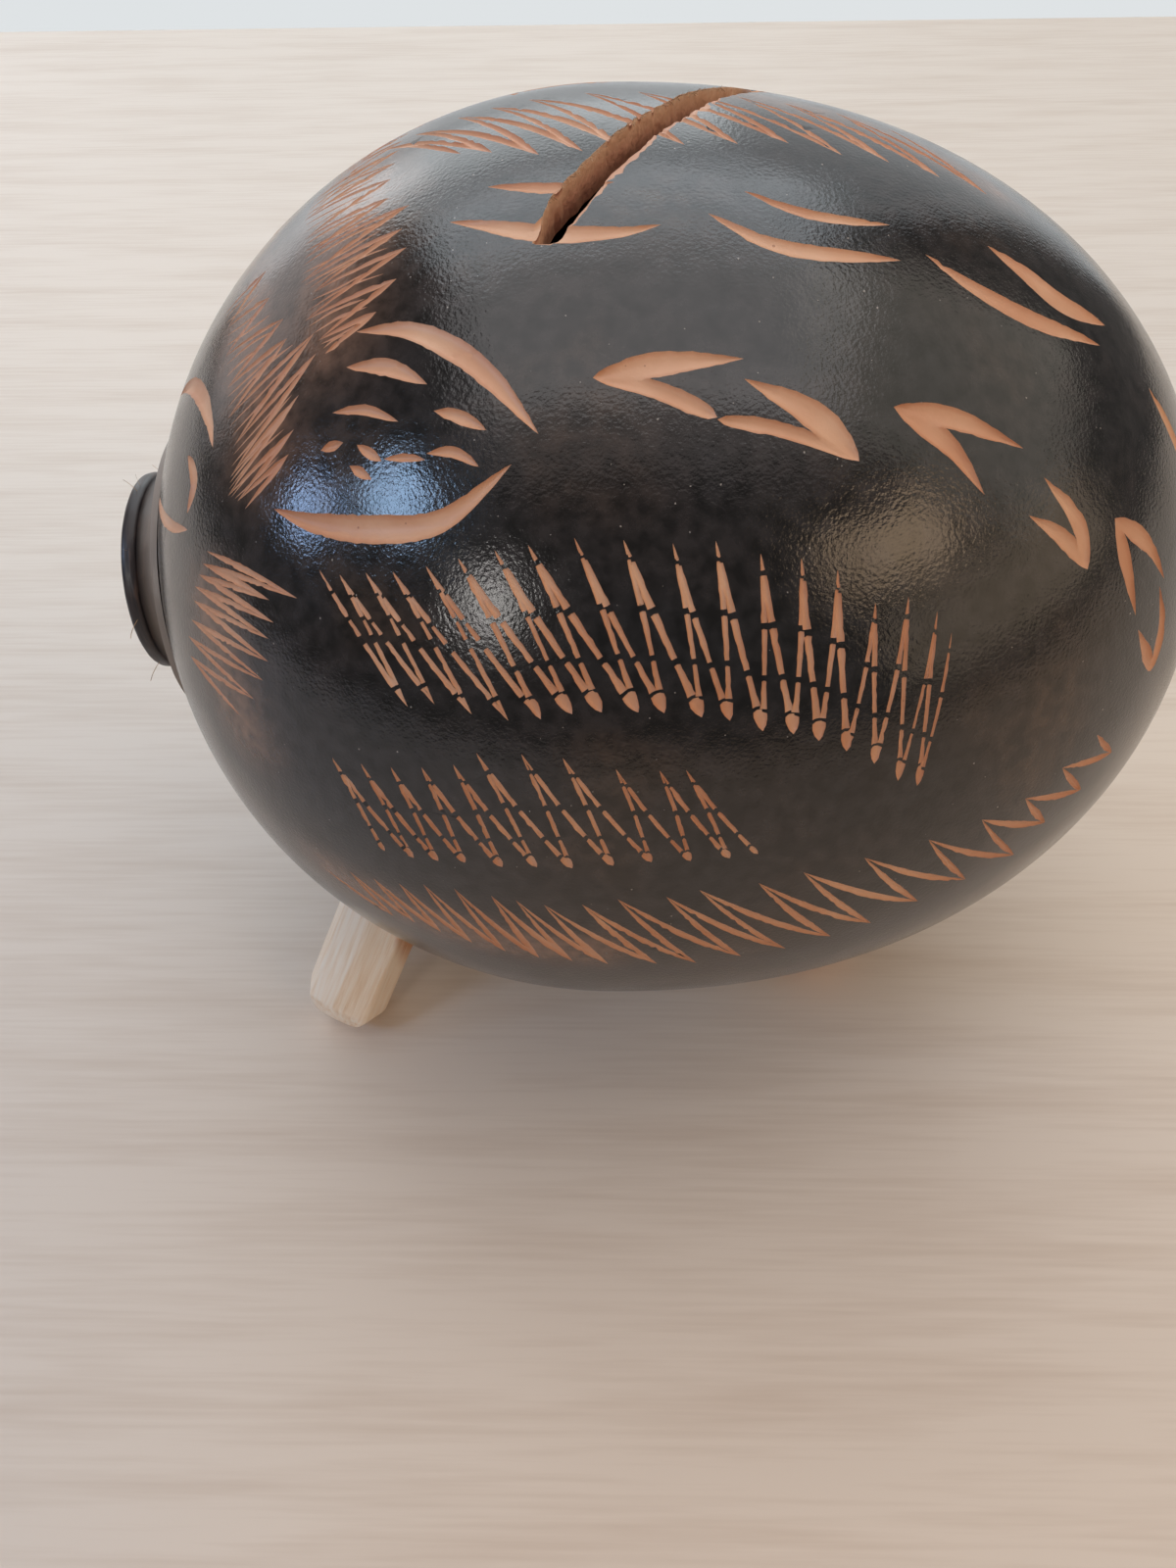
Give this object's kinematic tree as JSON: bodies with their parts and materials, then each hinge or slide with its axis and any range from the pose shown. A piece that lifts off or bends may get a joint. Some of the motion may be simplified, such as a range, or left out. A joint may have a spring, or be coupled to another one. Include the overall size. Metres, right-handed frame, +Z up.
{
  "type": "coconut shell piggy bank",
  "caption": "Pig-shaped money bank made from a hollow round fruit shell, with a coin slot in its back, a snout stopper that pulls out, whittled peg legs and incised folk ornament.",
  "frame": {"origin": "on the surface that the bank stands on, under the middle of its length", "axes": "+X along the body towards the tail, so the head points to -X; +Y to the pig's left side; +Z up"},
  "size_m": [0.1264, 0.105, 0.1125],
  "materials": {
    "fruit_shell": "satin",
    "snout_shell": "satin",
    "peg_wood": "matte"
  },
  "bodies": {
    "bank": {"shell": "fruit_shell", "snout_collar": "snout_shell", "leg_front_right": "peg_wood", "leg_front_left": "peg_wood", "leg_rear_right": "peg_wood", "leg_rear_left": "peg_wood"},
    "stopper": {"snout_plug": "snout_shell"}
  },
  "joints": [
    {"name": "stopper_slide", "type": "slide", "parent": "bank", "child": "stopper", "axis": [-1, 0, 0], "range_m": [0, 0.03]}
  ]
}
